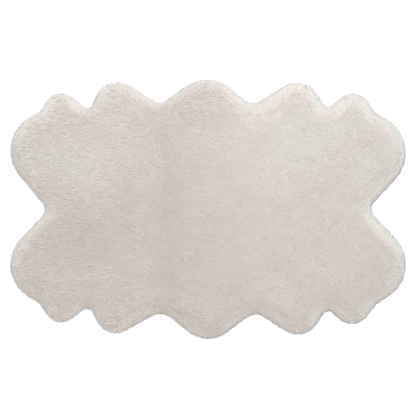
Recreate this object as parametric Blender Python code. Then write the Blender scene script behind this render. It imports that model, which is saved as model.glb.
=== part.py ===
"""A faux fur rug with a scalloped edge, lying flat on the floor.

The rug is one piece of pile cloth, cut with seven lobes along its upper half and seven along its lower
half. It is modelled as one closed solid: a flat underside, a soft rim that carries locks of fur, and a
lumpy top where the pile stands in tufts. Sizes are in metres, +Z is up and the floor is at zero.
"""

import math
import random
from typing import NamedTuple

import bmesh
import bpy
from mathutils import Vector, noise
from mathutils.geometry import delaunay_2d_cdt, intersect_point_line

# Driving dimensions: the length from tip to tip and the mean height of the pile
LENGTH = 1.83
PILE_TOP = 0.027

# The pattern of the cut edge below is drawn at this length, 1.20 wide, and graded to LENGTH
PATTERN_LENGTH = 1.83

# A lobe bulges out of the cut edge, a notch bites into it
LOBE = 1
NOTCH = -1


class Round(NamedTuple):
    """One circle that the cut edge runs round: where it stands and how large it is."""
    name: str
    kind: int
    x: float
    y: float
    radius: float


# The cut edge, anticlockwise from the upper lobe at the east end. Straight runs join the neighbours.
EDGE_ROUNDS = [
    Round("east_upper", LOBE, 0.735, 0.260, 0.180),
    Round("east_upper_nick", NOTCH, 0.785, 0.460, 0.020),
    Round("north_east_corner", LOBE, 0.670, 0.455, 0.080),
    Round("north_east_notch", NOTCH, 0.555, 0.490, 0.020),
    Round("north_east_shoulder", LOBE, 0.410, 0.470, 0.115),
    Round("north_east_dip", NOTCH, 0.210, 0.545, 0.055),
    Round("north", LOBE, -0.005, 0.430, 0.170),
    Round("north_west_dip", NOTCH, -0.220, 0.540, 0.045),
    Round("north_west_shoulder", LOBE, -0.415, 0.475, 0.115),
    Round("north_west_notch", NOTCH, -0.555, 0.490, 0.020),
    Round("north_west_corner", LOBE, -0.675, 0.455, 0.085),
    Round("west_upper_nick", NOTCH, -0.790, 0.470, 0.020),
    Round("west_upper", LOBE, -0.735, 0.270, 0.180),
    Round("west_waist", NOTCH, -0.795, 0.000, 0.040),
    Round("west_lower", LOBE, -0.740, -0.255, 0.175),
    Round("west_lower_nick", NOTCH, -0.790, -0.455, 0.020),
    Round("south_west_corner", LOBE, -0.675, -0.440, 0.085),
    Round("south_west_notch", NOTCH, -0.555, -0.480, 0.020),
    Round("south_west_shoulder", LOBE, -0.425, -0.475, 0.100),
    Round("south_west_dip", NOTCH, -0.220, -0.555, 0.070),
    Round("south", LOBE, 0.000, -0.450, 0.150),
    Round("south_east_dip", NOTCH, 0.220, -0.540, 0.055),
    Round("south_east_shoulder", LOBE, 0.415, -0.475, 0.105),
    Round("south_east_notch", NOTCH, 0.555, -0.490, 0.020),
    Round("south_east_corner", LOBE, 0.665, -0.440, 0.090),
    Round("east_lower_nick", NOTCH, 0.790, -0.455, 0.020),
    Round("east_lower", LOBE, 0.740, -0.255, 0.175),
    Round("east_waist", NOTCH, 0.800, 0.000, 0.045),
]


class Section(NamedTuple):
    """One ring of the rim: how far inside the edge it lies, its height, and how far lumps move it."""
    name: str
    inset: float
    height: float
    lump: float


# The rim, from the floor up and over on to the pile
RIM_SECTIONS = [
    Section("floor", 0.012, 0.000, 0.0),
    Section("lock_foot", 0.005, 0.004, 0.0),
    Section("lock_crown", 0.006, 0.012, 0.1),
    Section("shoulder", 0.022, 0.017, 0.4),
    Section("pile_edge", 0.046, 0.022, 0.8),
]

# From the edge of the top the pile still rises over this width, ever more gently
ROLL_WIDTH = 0.070

# Locks round the rim: one on each step along the edge, short and uneven
LOCK_PITCH = 0.026
LOCK_MAX_TURN = math.radians(32)
LOCK_SHORTEST = 0.004
LOCK_LONGEST = 0.009
LOCK_LEAN = 0.006
LOCK_DROOP = 0.003

# Tufts on the top: a staggered grid of points, each moved and raised a little
TUFT_PITCH = 0.027
TUFT_SHIFT = 0.007
TUFT_RISE = 0.0022
TUFT_CLEARANCE = 0.012
SWELL_SIZE = 0.16
SWELL_RISE = 0.0016

SEED = 11

FUR_COLOUR = (0.66, 0.62, 0.57, 1.0)
FUR_ROUGHNESS = 0.95


def clear_scene():
    """Removes whatever is in the scene."""
    for thing in list(bpy.data.objects):
        bpy.data.objects.remove(thing, do_unlink=True)


def fur_material():
    """Pale warm grey fur."""
    material = bpy.data.materials.new("fur")
    material.use_nodes = True
    shader = material.node_tree.nodes["Principled BSDF"]
    shader.inputs["Base Color"].default_value = FUR_COLOUR
    shader.inputs["Roughness"].default_value = FUR_ROUGHNESS
    shader.inputs["Metallic"].default_value = 0.0
    return material


def run_normal(first, second):
    """Direction, as an angle, that faces outward along the straight run between two rounds."""
    across_x = second.x - first.x
    across_y = second.y - first.y
    reach = first.kind * first.radius - second.kind * second.radius
    return math.atan2(across_y, across_x) - math.acos(reach / math.hypot(across_x, across_y))


def point_on(this, angle):
    """Point where the edge faces the given direction on one round."""
    arm = this.kind * this.radius
    return Vector((this.x + arm * math.cos(angle), this.y + arm * math.sin(angle)))


def graded_rounds():
    """The pattern's rounds, graded to the rug's length."""
    grade = LENGTH / PATTERN_LENGTH
    return [Round(r.name, r.kind, r.x * grade, r.y * grade, r.radius * grade) for r in EDGE_ROUNDS]


def walk_edge():
    """Steps along the whole edge and returns (point, outward direction) pairs, one for each lock."""
    rounds = graded_rounds()
    steps = []
    for index, this in enumerate(rounds):
        after = rounds[(index + 1) % len(rounds)]
        start = run_normal(rounds[index - 1], this)
        leave = run_normal(this, after)
        turn = (leave - start + math.pi) % math.tau - math.pi
        count = math.ceil(max(abs(turn) * this.radius / LOCK_PITCH, abs(turn) / LOCK_MAX_TURN))
        for step in range(count):
            angle = start + turn * step / count
            steps.append((point_on(this, angle), Vector((math.cos(angle), math.sin(angle)))))
        run_start = point_on(this, leave)
        run_end = point_on(after, leave)
        count = math.ceil((run_end - run_start).length / LOCK_PITCH)
        outward = Vector((math.cos(leave), math.sin(leave)))
        for step in range(count):
            steps.append((run_start.lerp(run_end, step / count), outward))
    return steps


def lump_height(x, y, chance):
    """How far the pile stands above or below its mean height at one point."""
    swell = noise.noise(Vector((x, y, 0.0)) / SWELL_SIZE)
    return SWELL_RISE * swell + TUFT_RISE * chance.uniform(-1.0, 1.0)


def rim_rings(mesh, steps, chance):
    """Adds one ring of points for each section of the rim, from the floor to the edge of the top."""
    rings = []
    for section in RIM_SECTIONS:
        ring = []
        for point, outward in steps:
            place = point - outward * section.inset
            height = section.height + section.lump * lump_height(place.x, place.y, chance)
            ring.append(mesh.verts.new((place.x, place.y, height)))
        rings.append(ring)
    return rings


def join_rings(mesh, lower, upper):
    """Bridges two rings with quads that face outward and returns them."""
    count = len(lower)
    faces = []
    for index in range(count):
        after = (index + 1) % count
        faces.append(mesh.faces.new((lower[index], lower[after], upper[after], upper[index])))
    return faces


def raise_locks(mesh, faces, chance):
    """Draws each quad of the rim out into one four-sided lock, uneven in length, lean and droop."""
    mesh.normal_update()
    for face in faces:
        outward = face.normal.copy()
        along = outward.cross(Vector((0.0, 0.0, 1.0))).normalized()
        tip = bmesh.ops.poke(mesh, faces=[face])["verts"][0]
        tip.co += outward * chance.uniform(LOCK_SHORTEST, LOCK_LONGEST)
        tip.co += along * chance.uniform(-LOCK_LEAN, LOCK_LEAN)
        tip.co.z -= chance.uniform(0.0, LOCK_DROOP)


def inside(outline, point):
    """Whether a point lies inside a closed outline, by counting the sides that a ray crosses."""
    within = False
    for index, here in enumerate(outline):
        before = outline[index - 1]
        if (here.y > point.y) != (before.y > point.y):
            crossing = here.x + (before.x - here.x) * (point.y - here.y) / (before.y - here.y)
            if crossing > point.x:
                within = not within
    return within


def side_distance(outline, point):
    """Shortest distance from a point to the sides of a closed outline."""
    distances = []
    for index, here in enumerate(outline):
        before = outline[index - 1]
        share = intersect_point_line(point, before, here)[1]
        nearest = before.lerp(here, min(max(share, 0.0), 1.0))
        distances.append((point - nearest).length)
    return min(distances)


def tuft_places(outline, chance):
    """Staggered grid of tufts inside an outline: (place, distance to the outline) pairs."""
    row_pitch = TUFT_PITCH * math.sqrt(3) / 2
    rows = math.ceil(max(abs(corner.y) for corner in outline) / row_pitch)
    columns = math.ceil(max(abs(corner.x) for corner in outline) / TUFT_PITCH)
    places = []
    for row in range(-rows, rows + 1):
        for column in range(-columns, columns + 1):
            x = (column + 0.5 * (row % 2)) * TUFT_PITCH + chance.uniform(-TUFT_SHIFT, TUFT_SHIFT)
            y = row * row_pitch + chance.uniform(-TUFT_SHIFT, TUFT_SHIFT)
            place = Vector((x, y))
            if not inside(outline, place):
                continue
            clearance = side_distance(outline, place)
            if clearance > TUFT_CLEARANCE:
                places.append((place, clearance))
    return places


def pile_height(clearance):
    """Mean height of the pile at a distance from the edge of the top."""
    edge_height = RIM_SECTIONS[-1].height
    level = 1.0 - max(1.0 - clearance / ROLL_WIDTH, 0.0) ** 2
    return edge_height + (PILE_TOP - edge_height) * level


def fill_flat(mesh, verts, inner_verts, faces_up):
    """Fills the space inside a ring with triangles between its points and the points within it."""
    corners = list(verts) + list(inner_verts)
    flat = [corner.co.to_2d() for corner in corners]
    ring = list(range(len(verts)))
    triangles = delaunay_2d_cdt(flat, [], [ring], 1, 1e-7)[2]
    for triangle in triangles:
        order = triangle if faces_up else reversed(triangle)
        mesh.faces.new([corners[index] for index in order])


def centre_on_floor(mesh):
    """Moves the rug so that the middle of its box stands over the origin."""
    xs = [corner.co.x for corner in mesh.verts]
    ys = [corner.co.y for corner in mesh.verts]
    middle = Vector(((min(xs) + max(xs)) / 2, (min(ys) + max(ys)) / 2, 0.0))
    bmesh.ops.translate(mesh, verts=mesh.verts, vec=-middle)


def rug_object():
    """The whole rug: underside, rim with its locks, and lumpy top."""
    chance = random.Random(SEED)
    mesh = bmesh.new()
    rings = rim_rings(mesh, walk_edge(), chance)
    floor, lock_foot, lock_crown, shoulder, pile_edge = rings
    join_rings(mesh, floor, lock_foot)
    locks = join_rings(mesh, lock_foot, lock_crown)
    join_rings(mesh, lock_crown, shoulder)
    join_rings(mesh, shoulder, pile_edge)
    raise_locks(mesh, locks, chance)
    top_outline = [corner.co.to_2d() for corner in pile_edge]
    tufts = []
    for place, clearance in tuft_places(top_outline, chance):
        height = pile_height(clearance) + lump_height(place.x, place.y, chance)
        tufts.append(mesh.verts.new((place.x, place.y, height)))
    fill_flat(mesh, pile_edge, tufts, faces_up=True)
    fill_flat(mesh, floor, [], faces_up=False)
    bmesh.ops.triangulate(mesh, faces=mesh.faces)
    centre_on_floor(mesh)

    data = bpy.data.meshes.new("rug")
    mesh.to_mesh(data)
    mesh.free()
    data.materials.append(fur_material())
    data.shade_smooth()
    rug = bpy.data.objects.new("rug", data)
    bpy.context.scene.collection.objects.link(rug)
    return rug


clear_scene()
rug_object()
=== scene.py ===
# %% [markdown]
# A faux fur rug, seen from straight above
#
# The real rug is one piece of faux fur: a thin knitted backing with a dense plush pile, cut to a
# scalloped outline and laid out flat. Nothing is sewn on. What the eye reads is the pile:
# thousands of soft locks that lie along the rug, gather into short wavy tufts, and turn outward
# over the edge.
#
# The script follows the maker's order: the backing with its dense underfur first, then where each
# lock is rooted, how the pile is combed, the locks themselves, and last their colour. North is
# the far edge, at the top of the picture, and west is the left.

# %% Load the rug's solid
import math
from typing import NamedTuple

import bmesh
import bpy
import numpy as np
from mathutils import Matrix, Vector, noise
from mathutils.kdtree import KDTree


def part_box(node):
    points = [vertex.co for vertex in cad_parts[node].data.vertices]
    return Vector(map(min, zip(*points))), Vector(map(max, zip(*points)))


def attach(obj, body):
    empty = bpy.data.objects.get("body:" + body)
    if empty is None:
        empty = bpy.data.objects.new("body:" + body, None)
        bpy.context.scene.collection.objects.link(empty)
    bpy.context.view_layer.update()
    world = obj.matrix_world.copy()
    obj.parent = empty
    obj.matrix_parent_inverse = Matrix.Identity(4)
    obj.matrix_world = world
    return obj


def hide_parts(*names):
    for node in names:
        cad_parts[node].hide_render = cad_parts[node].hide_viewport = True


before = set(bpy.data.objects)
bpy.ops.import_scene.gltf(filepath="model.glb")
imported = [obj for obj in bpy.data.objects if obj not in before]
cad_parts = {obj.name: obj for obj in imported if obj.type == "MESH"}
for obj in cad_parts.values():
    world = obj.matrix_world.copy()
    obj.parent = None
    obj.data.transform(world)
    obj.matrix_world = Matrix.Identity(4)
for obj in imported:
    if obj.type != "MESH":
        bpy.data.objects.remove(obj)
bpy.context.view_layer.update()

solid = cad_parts["rug"]
low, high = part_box("rug")
LENGTH, WIDTH, HEIGHT = high - low
chance = np.random.default_rng(7)
print(f"rug {LENGTH:.3f} by {WIDTH:.3f} m, {HEIGHT * 1000:.0f} mm high")

# %% [markdown]
# Writing shader maths as plain expressions
#
# A node tree is hard to read once it holds more than a few Math nodes. Here a small class wraps a
# socket, so that a sum or product of values adds the node it needs, and one method adds any other
# node.


# %% Helpers for node trees
class Wire:
    """One number in a node tree. Sums, products and powers of wires add Math nodes."""

    def __init__(self, recipe, socket):
        self.recipe = recipe
        self.socket = socket

    def _maths(self, operation, first, second):
        return self.recipe.add("ShaderNodeMath", {"operation": operation}, {0: first, 1: second})[0]

    def __add__(self, other):
        return self._maths("ADD", self, other)

    def __radd__(self, other):
        return self._maths("ADD", other, self)

    def __mul__(self, other):
        return self._maths("MULTIPLY", self, other)

    def __rmul__(self, other):
        return self._maths("MULTIPLY", other, self)

    def __pow__(self, other):
        return self._maths("POWER", self, other)

    def __lt__(self, other):
        return self._maths("LESS_THAN", self, other)


class Recipe:
    """The node tree of one material."""

    def __init__(self, name):
        self.material = bpy.data.materials.new(name)
        self.material.use_nodes = True
        self.tree = self.material.node_tree
        self.tree.nodes.clear()

    def add(self, kind, settings=None, inputs=None):
        """Adds a node: settings first, then a value or wire for each input. Returns its outputs."""
        node = self.tree.nodes.new(kind)
        for name, value in (settings or {}).items():
            if name == "stops":
                self._set_stops(node.color_ramp, value)
            else:
                setattr(node, name, value)
        for name, value in (inputs or {}).items():
            if isinstance(value, Wire):
                self.tree.links.new(value.socket, node.inputs[name])
            else:
                node.inputs[name].default_value = value
        return [Wire(self, socket) for socket in node.outputs]

    @staticmethod
    def _set_stops(ramp, stops):
        while len(ramp.elements) > 1:
            ramp.elements.remove(ramp.elements[-1])
        for index, (place, colour) in enumerate(stops):
            stop = ramp.elements[0] if index == 0 else ramp.elements.new(place)
            stop.position = place
            stop.color = (*colour, 1.0)

    def surface(self, shader):
        """Ends the tree with this shader as the surface."""
        self.add("ShaderNodeOutputMaterial", None, {"Surface": shader})
        return self.material


# %% [markdown]
# The floor, the light and the camera
#
# A rug is photographed laid out flat, with the camera straight above it. Plush fur shows its
# shape only by light that comes from one side, so a wide soft lamp stands beyond the far edge,
# and the pale floor and sky fill the rest. A long lens keeps the edge from leaning.

# %% Floor and sky
FLOOR_SIZE = 60.0
FLOOR_DROP = 0.0004

recipe = Recipe("pale_floor")
floor_shader = recipe.add("ShaderNodeBsdfPrincipled", None, {
    "Base Color": (0.82, 0.82, 0.82, 1.0),
    "Roughness": 0.9,
})[0]
floor_mesh = bpy.data.meshes.new("floor")
shape = bmesh.new()
bmesh.ops.create_grid(shape, x_segments=1, y_segments=1, size=FLOOR_SIZE / 2)
bmesh.ops.translate(shape, verts=shape.verts, vec=(0.0, 0.0, -FLOOR_DROP))
shape.to_mesh(floor_mesh)
shape.free()
floor_mesh.materials.append(recipe.surface(floor_shader))
floor = bpy.data.objects.new("floor", floor_mesh)
bpy.context.scene.collection.objects.link(floor)

SKY_STRENGTH = 1.46
sky = bpy.data.worlds.new("sky")
sky.use_nodes = True
sky.node_tree.nodes["Background"].inputs["Color"].default_value = (1.0, 1.0, 1.0, 1.0)
sky.node_tree.nodes["Background"].inputs["Strength"].default_value = SKY_STRENGTH
bpy.context.scene.world = sky
bpy.context.scene.view_settings.view_transform = "Standard"

# %% Lamp beyond the far edge
LAMP_PLACE = Vector((0.6, 3.0, 3.0))
LAMP_SIZE = 2.2
LAMP_POWER = 90.0

lamp_data = bpy.data.lights.new("soft_lamp", "AREA")
lamp_data.shape = "SQUARE"
lamp_data.size = LAMP_SIZE
lamp_data.energy = LAMP_POWER
lamp = bpy.data.objects.new("soft_lamp", lamp_data)
lamp.location = LAMP_PLACE
lamp.rotation_euler = LAMP_PLACE.to_track_quat("Z", "Y").to_euler()
bpy.context.scene.collection.objects.link(lamp)

# %% Camera straight above
PICTURE_SIDE = 416
RUG_SIDE = 397.6
RUG_BELOW_MIDDLE = 1.2
LENS = 85.0
SENSOR = 36.0
RIM_HEIGHT = 0.010

pixel = LENGTH / RUG_SIDE
camera_data = bpy.data.cameras.new("camera")
camera_data.lens = LENS
camera_data.sensor_width = SENSOR
camera = bpy.data.objects.new("camera", camera_data)
camera_height = PICTURE_SIDE * pixel * LENS / SENSOR + RIM_HEIGHT
camera.location = (0.0, RUG_BELOW_MIDDLE * pixel, camera_height)
bpy.context.scene.collection.objects.link(camera)
bpy.context.scene.camera = camera
print(f"camera {camera_height:.2f} m above the floor, {pixel * 1000:.2f} mm to a pixel")

# %% [markdown]
# The backing and its underfur
#
# Under the locks lies dense underfur on a knitted backing. No one sees it alone, but it closes
# every gap between the locks, so it is made as one soft sheet. The solid gives its shape: a copy
# is rebuilt from even cells, smoothed until the solid's rim locks melt away, and drawn in by the
# depth of the locks. The same rebuilt skin at a finer pitch is the ground that the locks are
# rooted in.

# %% Rebuild the solid as an even skin
LOCK_DEPTH = 0.0075
SKIN_SMOOTHING = 6
SMOOTHING_CELL = 0.009
MERGE = 1e-6


def even_skin(name, cell):
    """The solid rebuilt from cells of this size, smoothed and drawn in by the locks' depth."""
    whole = bmesh.new()
    whole.from_mesh(solid.data)
    bmesh.ops.remove_doubles(whole, verts=whole.verts, dist=MERGE)
    source = bpy.data.meshes.new(name + "_source")
    whole.to_mesh(source)
    whole.free()
    holder = bpy.data.objects.new(name, source)
    bpy.context.scene.collection.objects.link(holder)
    remesh = holder.modifiers.new("cells", "REMESH")
    remesh.mode = "VOXEL"
    remesh.voxel_size = cell
    smooth = holder.modifiers.new("smooth", "SMOOTH")
    smooth.factor = 0.5
    smooth.iterations = round(SKIN_SMOOTHING * (SMOOTHING_CELL / cell) ** 2)
    drawn_in = holder.modifiers.new("drawn_in", "DISPLACE")
    drawn_in.strength = -LOCK_DEPTH
    drawn_in.mid_level = 0.0
    evaluated = holder.evaluated_get(bpy.context.evaluated_depsgraph_get())
    skin = bpy.data.meshes.new_from_object(evaluated)
    skin.name = name
    bpy.data.objects.remove(holder)
    return skin


def points_of(mesh):
    """A mesh's points as rows of an array."""
    found = np.empty(len(mesh.vertices) * 3, np.float32)
    mesh.vertices.foreach_get("co", found)
    return found.reshape(-1, 3).astype(float)


# %% Lay the backing flat
UNDERFUR_CELL = 0.010
SIDE_MIDDLE = 0.012
UNDERSIDE_BAND = 0.002

body_mesh = even_skin("pile_body", UNDERFUR_CELL)
places = points_of(body_mesh)
lower = places[:, 2] < SIDE_MIDDLE
places[lower, 2] = np.maximum(places[lower, 2] - LOCK_DEPTH, 0.0)
places[places[:, 2] < UNDERSIDE_BAND, 2] = 0.0
body_mesh.vertices.foreach_set("co", places.astype(np.float32).ravel())

shape = bmesh.new()
shape.from_mesh(body_mesh)
beneath = [face for face in shape.faces if all(corner.co.z == 0.0 for corner in face.verts)]
bmesh.ops.dissolve_faces(shape, faces=beneath, use_verts=True)
bmesh.ops.triangulate(shape, faces=[face for face in shape.faces if len(face.verts) > 4])
shape.to_mesh(body_mesh)
shape.free()
body_mesh.shade_smooth()
body = bpy.data.objects.new("pile_body", body_mesh)
bpy.context.scene.collection.objects.link(body)
body_top = points_of(body_mesh)[:, 2].max()
print(f"pile body has {len(body_mesh.polygons)} faces and stands {body_top * 1000:.0f} mm high")

# %% [markdown]
# Where the locks are rooted
#
# On the knitting machine each stitch holds one lock, so the locks stand in even rows that no eye
# can follow. Here the finer skin has one face for each lock, and each root is moved a little
# within its face.

# %% Roots, one in each face of the ground
GROUND_CELL = 0.0037
ROOT_SHIFT = 0.45
LOWEST_FACING = -0.35

ground = even_skin("ground", GROUND_CELL)
count = len(ground.polygons)
centres = np.empty(count * 3, np.float32)
facings = np.empty(count * 3, np.float32)
ground.polygons.foreach_get("center", centres)
ground.polygons.foreach_get("normal", facings)
centres = centres.reshape(-1, 3).astype(float)
facings = facings.reshape(-1, 3).astype(float)
open_side = facings[:, 2] > LOWEST_FACING
roots = centres[open_side]
facing = facings[open_side]
shift = chance.uniform(-ROOT_SHIFT, ROOT_SHIFT, roots.shape) * GROUND_CELL
roots += shift - facing * (shift * facing).sum(1, keepdims=True)
bpy.data.meshes.remove(ground)
print(f"{len(roots)} roots")

# %% [markdown]
# How the pile is combed
#
# The pile leans along the rug, in waves, and turns outward over the edge, where nothing holds it
# up. So each root needs to know how far it stands from the edge and which way the edge lies. The
# rim of the solid's underside is a line to measure from.
#
# A hand has stroked the pile westward at its western end and eastward over the rest. Were the two
# to meet along a line, they would part there like hair, and a low view would show a dark seam. So
# over a wide band each lock picks its way by chance, and the share of the eastward ones grows
# from west to east.

# %% Distance and direction to the edge
FLAT_ENOUGH = 0.0005
EDGE_STEP = 0.004
EDGE_INSET = 0.012


def underside_rim():
    """Points along the rim of the solid's flat underside, close together."""
    whole = bmesh.new()
    whole.from_mesh(solid.data)
    bmesh.ops.remove_doubles(whole, verts=whole.verts, dist=MERGE)
    points = []
    for side in whole.edges:
        tops = [max(corner.co.z for corner in face.verts) for face in side.link_faces]
        if sum(top < FLAT_ENOUGH for top in tops) != 1:
            continue
        first, second = (corner.co for corner in side.verts)
        for step in range(max(1, round((second - first).length / EDGE_STEP))):
            points.append(first.lerp(second, step * EDGE_STEP / (second - first).length))
    whole.free()
    return points


rim_points = underside_rim()
tree = KDTree(len(rim_points))
for index, point in enumerate(rim_points):
    tree.insert(point, index)
tree.balance()
nearest = np.array([tree.find((x, y, 0.0))[0] for x, y, _ in roots])
to_edge = (nearest - roots)[:, :2]
gap = np.linalg.norm(to_edge, axis=1)
outward = np.zeros_like(roots)
outward[:, :2] = to_edge / np.maximum(gap, 1e-6)[:, None]
beyond = (outward * facing).sum(1) < 0.0
beyond &= gap < 3 * EDGE_INSET
outward[beyond] *= -1.0
inward = EDGE_INSET + np.where(beyond, -gap, gap)
print(f"roots stand up to {inward.max() * 1000:.0f} mm inside the edge")

# %% Shares that say where a root stands
EDGE_BAND = 0.085
WEST_TO_EAST = 0.8
LIVELY_MIDDLE = -0.10
LIVELY_WIDTH = 1.10
NOISE_GAIN = 2.0


def noise_at(points, size, shift):
    """Smooth noise, about -1 to 1, at each point. A different shift gives another pattern."""
    found = [noise.noise(Vector((x / size, y / size, shift))) for x, y in points[:, :2]]
    return NOISE_GAIN * np.array(found)


def ease(share):
    """0 below 0, 1 above 1 and a soft S between."""
    share = np.clip(share, 0.0, 1.0)
    return share * share * (3.0 - 2.0 * share)


westward = ease(0.5 - roots[:, 0] / (WEST_TO_EAST * LENGTH))
livelier = ease(0.5 - (roots[:, 0] - LIVELY_MIDDLE) / LIVELY_WIDTH)
near_edge = ease(1.0 - inward / EDGE_BAND)
loose = 1.0 - near_edge
print(f"{near_edge.astype(bool).mean():.0%} of the roots stand near the edge")


def by_liveliness(calm_value, lively_value):
    """A value at each root that grows from the calm east to the lively west."""
    return calm_value + (lively_value - calm_value) * livelier


# %% Comb the pile
WAVE_SIZE = 0.075
RIPPLE_SIZE = 0.022
CALM_TURN = 0.04
LIVELY_TURN = 0.40
CALM_RIPPLE = 0.10
LIVELY_RIPPLE = 0.40
NAP_TURN = -0.20
NAP_TURN_WIDTH = 0.30
NAP_SHIFT = 0.015
NAP_SHIFT_SIZE = 0.15
OUTWARD_PULL = 1.6
DROOP = 0.7

turn = by_liveliness(CALM_TURN, LIVELY_TURN) * noise_at(roots, WAVE_SIZE, 1.0)
turn += by_liveliness(CALM_RIPPLE, LIVELY_RIPPLE) * noise_at(roots, RIPPLE_SIZE, 2.0)
past_turn = roots[:, 0] - NAP_TURN + NAP_SHIFT * noise_at(roots, NAP_SHIFT_SIZE, 4.0)
eastward = chance.uniform(0.0, 1.0, len(roots)) < ease(0.5 + past_turn / NAP_TURN_WIDTH)
lean = np.where(eastward, 1.0, -1.0)
combed = np.stack([lean * np.cos(turn), lean * np.sin(turn), np.zeros_like(turn)], 1)
combed = combed * loose[:, None] + OUTWARD_PULL * outward * near_edge[:, None]
upright = 1.0 - np.clip(np.linalg.norm(combed, axis=1), 0.0, 1.0)
combed[:, 2] -= DROOP * near_edge
combed -= facing * (combed * facing).sum(1, keepdims=True)
combed /= np.linalg.norm(combed, axis=1, keepdims=True)
print(f"{eastward.mean():.0%} of the locks lean eastward")

# %% [markdown]
# Locks gather into tufts
#
# Plush fur never stands evenly. Neighbouring locks cling together in long narrow tufts that
# follow the comb, with a shallow parting between them. Each root joins the tuft whose long axis
# it is closest to. Each lock also strays a little from the comb, and in the livelier west whole
# tufts stray too.

# %% Share the roots among the tufts
TUFT_PITCH = 0.011
TUFT_SHIFT = 0.5
TUFT_STRETCH = 1.7
TUFT_CHOICES = 6
CALM_STRAY = 0.07
LIVELY_STRAY = 0.8
LOCK_STRAY = 0.22

columns = np.arange(low[0], high[0], TUFT_PITCH)
rows = np.arange(low[1], high[1], TUFT_PITCH)
tufts = np.stack(np.meshgrid(columns, rows), 2).reshape(-1, 2)
tufts += chance.uniform(-TUFT_SHIFT, TUFT_SHIFT, tufts.shape) * TUFT_PITCH
tree = KDTree(len(tufts))
for index, (x, y) in enumerate(tufts):
    tree.insert((x, y, 0.0), index)
tree.balance()
choices = np.array([
    [found[1] for found in tree.find_n((x, y, 0.0), TUFT_CHOICES)]
    for x, y, _ in roots
])
away = roots[:, None, :2] - tufts[choices]
plan = combed[:, :2] / np.maximum(np.linalg.norm(combed[:, :2], axis=1), 1e-6)[:, None]
along_tuft = (away * plan[:, None]).sum(2)
across_tuft = away[:, :, 1] * plan[:, None, 0] - away[:, :, 0] * plan[:, None, 1]
best = np.argmin((along_tuft / TUFT_STRETCH) ** 2 + (across_tuft * TUFT_STRETCH) ** 2, axis=1)
everyone = np.arange(len(roots))
tuft = choices[everyone, best]
aside = across_tuft[everyone, best]
half_width = TUFT_PITCH / 2
crown = 1.0 - np.clip(np.abs(aside) / half_width, 0.0, 1.0) ** 2
tuft_luck = chance.uniform(-1.0, 1.0, len(tufts))[tuft]
stray = by_liveliness(CALM_STRAY, LIVELY_STRAY) * loose
stray *= chance.uniform(-1.0, 1.0, len(tufts))[tuft]
stray += LOCK_STRAY * loose * chance.uniform(-1.0, 1.0, len(roots))
side_way = np.cross(facing, combed)
combed = combed * np.cos(stray)[:, None] + side_way * np.sin(stray)[:, None]
side_way = np.cross(facing, combed)
print(f"{len(np.unique(tuft))} tufts of about {len(roots) / len(np.unique(tuft)):.0f} locks")

# %% [markdown]
# One lock, then all of them
#
# A lock is a soft tapered wisp, here about as thick as a pencil at its root. It rises out of the
# ground and bends over along the comb, so its back has a rounded knee. A three-sided cone whose
# back edge gets one more point shows that with six faces. It is modelled once with bmesh, and
# array sums grow the rest.

# %% Model one lock
KNEE_HEIGHT = 0.5
KNEE_OUT = 1.7

shape = bmesh.new()
bmesh.ops.create_cone(shape, cap_ends=True, segments=3, radius1=0.5, radius2=0.0, depth=1.0)
bmesh.ops.translate(shape, verts=shape.verts, vec=(0.0, 0.0, 0.5))
back = max(shape.edges, key=lambda side: min(corner.co.y for corner in side.verts))
knee = bmesh.ops.subdivide_edges(shape, edges=[back], cuts=1)["geom_inner"]
knee = [part for part in knee if isinstance(part, bmesh.types.BMVert)]
bmesh.ops.scale(shape, verts=knee, vec=(1.0, KNEE_OUT, 2.0 * KNEE_HEIGHT))
bmesh.ops.triangulate(shape, faces=shape.faces)
bmesh.ops.recalc_face_normals(shape, faces=shape.faces)
shape.verts.ensure_lookup_table()
lock_points = np.array([corner.co for corner in shape.verts])
lock_faces = np.array([[corner.index for corner in face.verts] for face in shape.faces])
shape.free()
print(f"one lock has {len(lock_points)} points and {len(lock_faces)} faces")

# %% [markdown]
# Lock by lock
#
# A real pile is never shorn to one length. Chance changes each lock's height, reach and width,
# little in the east and much in the west, where the locks also reach less far and stand up more.
# The crown of a tuft stands above its sides, and its locks lean in to it. Over the north rim the
# locks lie flat, wide and even, so that the lamp makes one smooth glow there.

# %% Size and bend of every lock
LOCK_LIFT = 0.0052
LOCK_REACH = 0.0125
LOCK_WIDTH = 0.0062
LOCK_THICKNESS = 0.8
ROOT_TILT = 0.5
BEND = 1.4
EDGE_STRETCH = 0.30
LUCK = 0.15
TUFT_LIFT = 0.08
CROWN_LIFT = 0.10
CROWN_MIDDLE = 0.6
GATHER = 0.5
LOWEST = 0.0006
WEST_REACH = 0.68
WEST_LIFT = 1.2
EAST_LUCK = 0.45
WEST_LUCK = 2.3
UPRIGHT_REACH = 0.6
FACING_GAIN = 1.5
CALM_LIFT = 0.65
CALM_LUCK = 0.15
CALM_WIDTH = 1.25
CALM_REACH = 1.2

luck = chance.uniform(-1.0, 1.0, (3, len(roots)))
calm = near_edge * ease(outward[:, 1] * FACING_GAIN)
lively = by_liveliness(EAST_LUCK, WEST_LUCK)
luck *= lively * (1.0 - (1.0 - CALM_LUCK) * calm)
in_tuft = TUFT_LIFT * tuft_luck + CROWN_LIFT * (crown - CROWN_MIDDLE)
lift = LOCK_LIFT * (1.0 + LUCK * luck[0] + loose * lively * in_tuft)
lift *= 1.0 - (1.0 - CALM_LIFT) * calm
lift *= 1.0 + (WEST_LIFT - 1.0) * westward
reach = LOCK_REACH * (1.0 + LUCK * luck[1] + EDGE_STRETCH * near_edge)
reach *= 1.0 - (1.0 - WEST_REACH) * westward
reach *= 1.0 - (1.0 - UPRIGHT_REACH) * upright
reach *= 1.0 + (CALM_REACH - 1.0) * calm
width = LOCK_WIDTH * (1.0 + LUCK * luck[2]) * (1.0 + (CALM_WIDTH - 1.0) * calm)
gather = -GATHER * loose * aside


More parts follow.
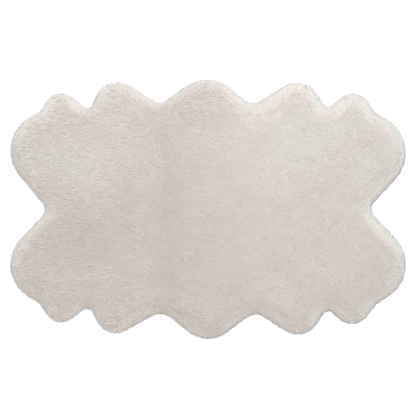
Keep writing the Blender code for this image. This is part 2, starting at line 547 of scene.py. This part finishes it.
def grown(which):
    """The points of the chosen locks, one row of points for each lock."""
    height = lock_points[:, 2]
    rise = 1.0 - (1.0 - height) ** 2
    run = height ** BEND
    out = lift[which, None] * rise + width[which, None] * LOCK_THICKNESS * lock_points[:, 1]
    over = reach[which, None] * run - width[which, None] * ROOT_TILT * lock_points[:, 1]
    aside_by = gather[which, None] * run + width[which, None] * lock_points[:, 0]
    points = roots[which, None] + facing[which, None] * out[..., None]
    points = points + combed[which, None] * over[..., None]
    points = points + side_way[which, None] * aside_by[..., None]
    points[..., 2] = np.maximum(points[..., 2], LOWEST)
    return points


# %% [markdown]
# Colour, lock by lock
#
# The fur is a warm pale grey with broad soft lighter and darker patches, and cool and pale where
# the pile thins over the edge, a frost that is partly painted light. Two numbers for each lock
# hold all of that. Its tone picks a colour from a ramp: warm tan, warm pale grey, cream and last
# the cool frost of the rim. Its painted tip light says how light the lock is painted at its tip;
# where it is low, the lock carries a painted shade. Down to the root it darkens, a painted shade
# between the locks, little in the east, where the locks lie close and even. The lock's place on
# its UV map is its tone in one direction, and its painted light at each height in the other, so
# that one small pattern colours every lock.

# %% Broad patches of the pile
class Patch(NamedTuple):
    """One broad soft patch of the pile, lighter or darker than the rest."""
    name: str
    x: float
    y: float
    half_length: float
    half_width: float
    tone: float
    painted_tip_light: float


# A patch's tone makes the pile lighter or darker there. Where a patch changes the painted tip
# light, on the north lobes, their shoulders and the east waist, it paints light or shade.
PATCHES = [
    Patch("west_of_middle", -0.18, 0.05, 0.10, 0.70, -0.20, 0.0),
    Patch("middle", 0.04, 0.02, 0.13, 0.70, -0.10, 0.0),
    Patch("west_shade", -0.56, -0.10, 0.15, 0.12, -0.20, 0.0),
    Patch("west_corner_light", -0.66, 0.22, 0.24, 0.13, 0.20, 0.0),
    Patch("south_of_middle", 0.05, -0.24, 0.12, 0.15, -0.08, 0.0),
    Patch("inner_west", -0.36, -0.05, 0.06, 0.40, -0.09, 0.0),
    Patch("east_light", 0.40, 0.30, 0.40, 0.16, 0.10, 0.0),
    Patch("east_waist", 0.70, -0.05, 0.07, 0.16, 0.0, 0.12),
    Patch("middle_lobe", -0.05, 0.46, 0.18, 0.10, -0.14, -0.04),
    Patch("middle_lobe_shoulder", -0.10, 0.52, 0.14, 0.08, 0.0, -0.11),
    Patch("north_west_lobe", -0.70, 0.48, 0.10, 0.08, 0.0, 0.13),
    Patch("second_lobe_crest", -0.46, 0.58, 0.09, 0.04, 0.0, 0.10),
    Patch("fourth_lobe_crest", 0.34, 0.58, 0.09, 0.04, 0.0, 0.10),
    Patch("west_lobe_shoulder", -0.83, 0.38, 0.09, 0.08, 0.0, 0.18),
]
patched_tone = np.zeros(len(roots))
patched_painted_light = np.zeros(len(roots))
for patch in PATCHES:
    away_x = (roots[:, 0] - patch.x) / patch.half_length
    away_y = (roots[:, 1] - patch.y) / patch.half_width
    felt = np.exp(-away_x ** 2 - away_y ** 2)
    patched_tone += patch.tone * felt
    patched_painted_light += patch.painted_tip_light * felt
darkest, lightest = patched_tone.min(), patched_tone.max()
print(f"{len(PATCHES)} patches change the tone by {darkest:.2f} to {lightest:.2f}")

# %% [markdown]
# Round the rim
#
# Over the rim the locks stand apart and bend down, and their colour is painted by the way that
# the rim faces, to go with the lamp beyond the north edge: cool and frosted to the west and east,
# partly painted light; a darker, warm painted shade to the south; and to the north a low painted
# tip light, a painted shade that holds down the lamp's glow. A table gives tone and painted tip
# light for twelve ways to face, and each root reads between two rows.

# %% Tone and painted tip light round the rim
class RimSide(NamedTuple):
    """The fur over the rim where it faces one way, which is given in degrees round from east."""
    name: str
    facing: float
    tone: float
    tone_band: float
    painted_tip_light: float
    painted_light_start: float


RIM_SIDES = [
    RimSide("south_west_flank", -150.0, 0.76, 0.080, 0.34, 0.0),
    RimSide("south_south_west", -120.0, 0.45, 0.080, 0.60, 0.0),
    RimSide("south", -90.0, 0.32, 0.080, 0.86, 0.0),
    RimSide("south_south_east", -60.0, 0.60, 0.080, 0.62, 0.0),
    RimSide("south_east_flank", -30.0, 0.93, 0.080, 0.90, 0.0),
    RimSide("east", 0.0, 0.98, 0.090, 1.00, 0.0),
    RimSide("north_east_flank", 30.0, 0.96, 0.080, 0.60, 0.0),
    RimSide("north_north_east", 60.0, 0.86, 0.055, 0.15, 0.3),
    RimSide("north", 90.0, 0.87, 0.050, 0.13, 0.32),
    RimSide("north_north_west", 120.0, 0.84, 0.055, 0.16, 0.3),
    RimSide("north_west_flank", 150.0, 0.88, 0.070, 0.60, 0.1),
    RimSide("west", 180.0, 0.88, 0.080, 0.74, 0.0),
]

rim_faces = np.degrees(np.arctan2(outward[:, 1], outward[:, 0]))


def of_rim(column):
    """One column of the rim's table at each root, by the way that the nearest rim faces."""
    values = [getattr(side, column) for side in RIM_SIDES]
    return np.interp(rim_faces, [side.facing for side in RIM_SIDES], values, period=360.0)


# %% Tone of every lock
MIDDLE_TONE = 0.615
EAST_PAINTED_LIGHT_TONE = 0.03
NORTH_PAINTED_LIGHT_TONE = 0.04
CLOUD_SIZE = 0.16
CLOUD_TONE = 0.05
TUFT_TONE = 0.02
LOCK_TONE = 0.07
FIELD_LIGHTEST = 0.74
TONE_ENDS = (0.02, 0.98)

# The tone grows lighter towards the north and east: painted light that follows the lamp beyond the
# north edge, east of the middle.
tone = MIDDLE_TONE + EAST_PAINTED_LIGHT_TONE * roots[:, 0] / (LENGTH / 2)
tone += NORTH_PAINTED_LIGHT_TONE * roots[:, 1] / (WIDTH / 2)
tone += CLOUD_TONE * noise_at(roots, CLOUD_SIZE, 3.0) + patched_tone
tone += TUFT_TONE * tuft_luck + LOCK_TONE * luck[0]
tone = np.clip(tone, TONE_ENDS[0], FIELD_LIGHTEST)
tone += (of_rim("tone") - tone) * ease(1.0 - inward / of_rim("tone_band"))
tone = np.clip(tone, *TONE_ENDS)
print(f"tones from {tone.min():.2f} to {tone.max():.2f}, {tone.mean():.2f} on average")

# %% Painted tip light of every lock
PAINTED_LIGHT_EAST = 0.31
PAINTED_LIGHT_WEST = 1.0
PAINTED_LIGHT_BAND = 0.070
PAINTED_LIGHT_SOUTH_EDGE = 0.08
SOUTH_EDGE_BAND = 0.018
SOUTH_EDGE_START = 1.5
LEAST_PAINTED_LIGHT = 0.01
EAST_ROOT_SHADE_LIFT = 0.8

# A painted shade along the very edge of the south rim, on the side turned away from the lamp.
painted_shade_south_edge = ease(SOUTH_EDGE_START - inward / SOUTH_EDGE_BAND) * ease(-FACING_GAIN * outward[:, 1])
rim_painted_light = of_rim("painted_tip_light")
rim_painted_light += (PAINTED_LIGHT_SOUTH_EDGE - rim_painted_light) * painted_shade_south_edge
# The painted tip light is low in the east, a painted shade over its flatter, brightly lit locks,
# and full in the west; near the rim it follows the rim's table.
painted_tip_light = PAINTED_LIGHT_EAST + (PAINTED_LIGHT_WEST - PAINTED_LIGHT_EAST) * westward
painted_tip_light += (rim_painted_light - painted_tip_light) * ease(1.0 + of_rim("painted_light_start") - inward / PAINTED_LIGHT_BAND)
painted_tip_light = np.clip(painted_tip_light + patched_painted_light, LEAST_PAINTED_LIGHT, 1.0)
# In the east the painted root shade is mostly lifted.
root_shade_lift = EAST_ROOT_SHADE_LIFT * (1.0 - westward) * loose
print(f"fullness from {painted_tip_light.min():.2f} to {painted_tip_light.max():.2f}")

# %% Material of the fur
UV_NAME = "OFBake"


def screen(red, green, blue):
    """A colour as it looks on screen, from 0 to 255, as the light values that shaders use."""
    return tuple((value / 255.0) ** 2.2 for value in (red, green, blue))


# The ramp runs from warm tan to cream; its last two stops are the cool frost of the rim, partly
# painted light.
FUR_TONES = [
    (0.0, screen(210, 198, 187)),
    (0.35, screen(224, 214, 205)),
    (0.6, screen(232, 224, 217)),
    (0.74, screen(237, 231, 225)),
    (0.87, screen(228, 228, 224)),
    (1.0, screen(235, 238, 236)),
]
ROOT_SHADE = 0.58
SHADE_CURVE = 0.45
FUR_ROUGHNESS = 0.85
FUR_SHEEN = 0.25
SHEEN_ROUGHNESS = 0.4

recipe = Recipe("plush_fur")
place = recipe.add("ShaderNodeUVMap", {"uv_map": UV_NAME})[0]
tone_wire, painted_light_wire, _ = recipe.add("ShaderNodeSeparateXYZ", None, {"Vector": place})
colour = recipe.add("ShaderNodeValToRGB", {"stops": FUR_TONES}, {"Fac": tone_wire})[0]
# Painted shade: each lock is darker towards its root, where the locks shade each other.
shade = ROOT_SHADE + (1.0 - ROOT_SHADE) * painted_light_wire ** SHADE_CURVE
colour = recipe.add("ShaderNodeVectorMath", {"operation": "SCALE"}, {
    "Vector": colour,
    "Scale": shade,
})[0]
fur_shader = recipe.add("ShaderNodeBsdfPrincipled", None, {
    "Base Color": colour,
    "Roughness": FUR_ROUGHNESS,
    "Sheen Weight": FUR_SHEEN,
    "Sheen Roughness": SHEEN_ROUGHNESS,
})[0]
fur = recipe.surface(fur_shader)

# %% Grow the locks in five beds, west to east
BEDS = ["locks_west", "locks_inner_west", "locks_middle", "locks_inner_east", "locks_east"]
MAP_WIDTH = 0.006
MAP_FOOT = 0.012
MAP_RISE = 0.97
MAP_THICKNESS = 0.012


def bed_of_locks(name, which):
    """One mesh of the chosen locks, with tone and painted light along the lock as its UV map."""
    points = grown(which).reshape(-1, 3)
    each = len(lock_points)
    faces = (lock_faces[None] + each * np.arange(len(which))[:, None, None]).reshape(-1, 3)
    mesh = bpy.data.meshes.new(name)
    mesh.vertices.add(len(points))
    mesh.vertices.foreach_set("co", points.astype(np.float32).ravel())
    mesh.loops.add(faces.size)
    mesh.loops.foreach_set("vertex_index", faces.astype(np.int32).ravel())
    mesh.polygons.add(len(faces))
    mesh.polygons.foreach_set("loop_start", np.arange(0, faces.size, 3, dtype=np.int32))
    mesh.update(calc_edges=True)
    on_map = np.empty((len(which), each, 2))
    on_map[..., 0] = tone[which, None] + MAP_WIDTH * lock_points[:, 0]
    # The map's second direction is painted light: low at the root for the painted root shade, and
    # low all along where the lock's painted tip light is low.
    lightened = root_shade_lift[which, None] + (1.0 - root_shade_lift[which, None]) * lock_points[:, 2]
    on_map[..., 1] = MAP_FOOT + MAP_RISE * painted_tip_light[which, None] * lightened
    on_map[..., 1] += MAP_THICKNESS * lock_points[:, 1]
    layer = mesh.uv_layers.new(name=UV_NAME)
    corners = on_map.reshape(-1, 2)[faces.ravel()]
    layer.uv.foreach_set("vector", corners.astype(np.float32).ravel())
    mesh.shade_smooth()
    mesh.materials.append(fur)
    piece = bpy.data.objects.new(name, mesh)
    bpy.context.scene.collection.objects.link(piece)
    print(f"{name}: {len(which)} locks, {len(faces)} faces")
    return piece


west_to_east = np.argsort(roots[:, 0])
shares = np.array_split(west_to_east, len(BEDS))
beds = [bed_of_locks(name, which) for name, which in zip(BEDS, shares)]

# %% Material of the underfur and its knitted backing
# The underfur is painted darker than the locks, a painted shade where it lies deep between them.
UNDERFUR_PAINTED_SHADE_TONES = [(0.0, screen(203, 194, 186)), (1.0, screen(215, 208, 201))]
BACKING_TONES = [(0.0, screen(176, 170, 160)), (1.0, screen(214, 209, 199))]
CLUMPS_PER_METRE = 60.0
STITCH = 0.0035
KNIT_STRENGTH = 0.6
KNIT_DEPTH = 0.001

recipe = Recipe("underfur_and_backing")
where = recipe.add("ShaderNodeTexCoord")[3]
patches = recipe.add("ShaderNodeTexNoise", None, {
    "Vector": where,
    "Scale": CLUMPS_PER_METRE,
    "Detail": 4.0,
})[0]
underfur = recipe.add("ShaderNodeValToRGB", {"stops": UNDERFUR_PAINTED_SHADE_TONES}, {"Fac": patches})[0]
x_wire, y_wire, z_wire = recipe.add("ShaderNodeSeparateXYZ", None, {"Vector": where})
wale = recipe.add("ShaderNodeMath", {"operation": "SINE"}, {0: x_wire * (math.tau / STITCH)})[0]
course = recipe.add("ShaderNodeMath", {"operation": "SINE"}, {0: y_wire * (math.tau / STITCH)})[0]
knit = 0.5 + 0.25 * wale + 0.25 * course
backing = recipe.add("ShaderNodeValToRGB", {"stops": BACKING_TONES}, {"Fac": knit})[0]
is_backing = z_wire < FLAT_ENOUGH
FIRST_COLOUR, SECOND_COLOUR, MIXED_COLOUR = 6, 7, 2
colour = recipe.add("ShaderNodeMix", {"data_type": "RGBA"}, {
    "Factor": is_backing,
    FIRST_COLOUR: underfur,
    SECOND_COLOUR: backing,
})[MIXED_COLOUR]
bump = recipe.add("ShaderNodeBump", None, {
    "Strength": KNIT_STRENGTH,
    "Distance": KNIT_DEPTH,
    "Height": knit * is_backing,
})[0]
body_shader = recipe.add("ShaderNodeBsdfPrincipled", None, {
    "Base Color": colour,
    "Roughness": 0.95,
    "Normal": bump,
})[0]
body_mesh.materials.clear()
body_mesh.materials.append(recipe.surface(body_shader))

for piece in [body, *beds]:
    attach(piece, "root")
    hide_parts("rug")
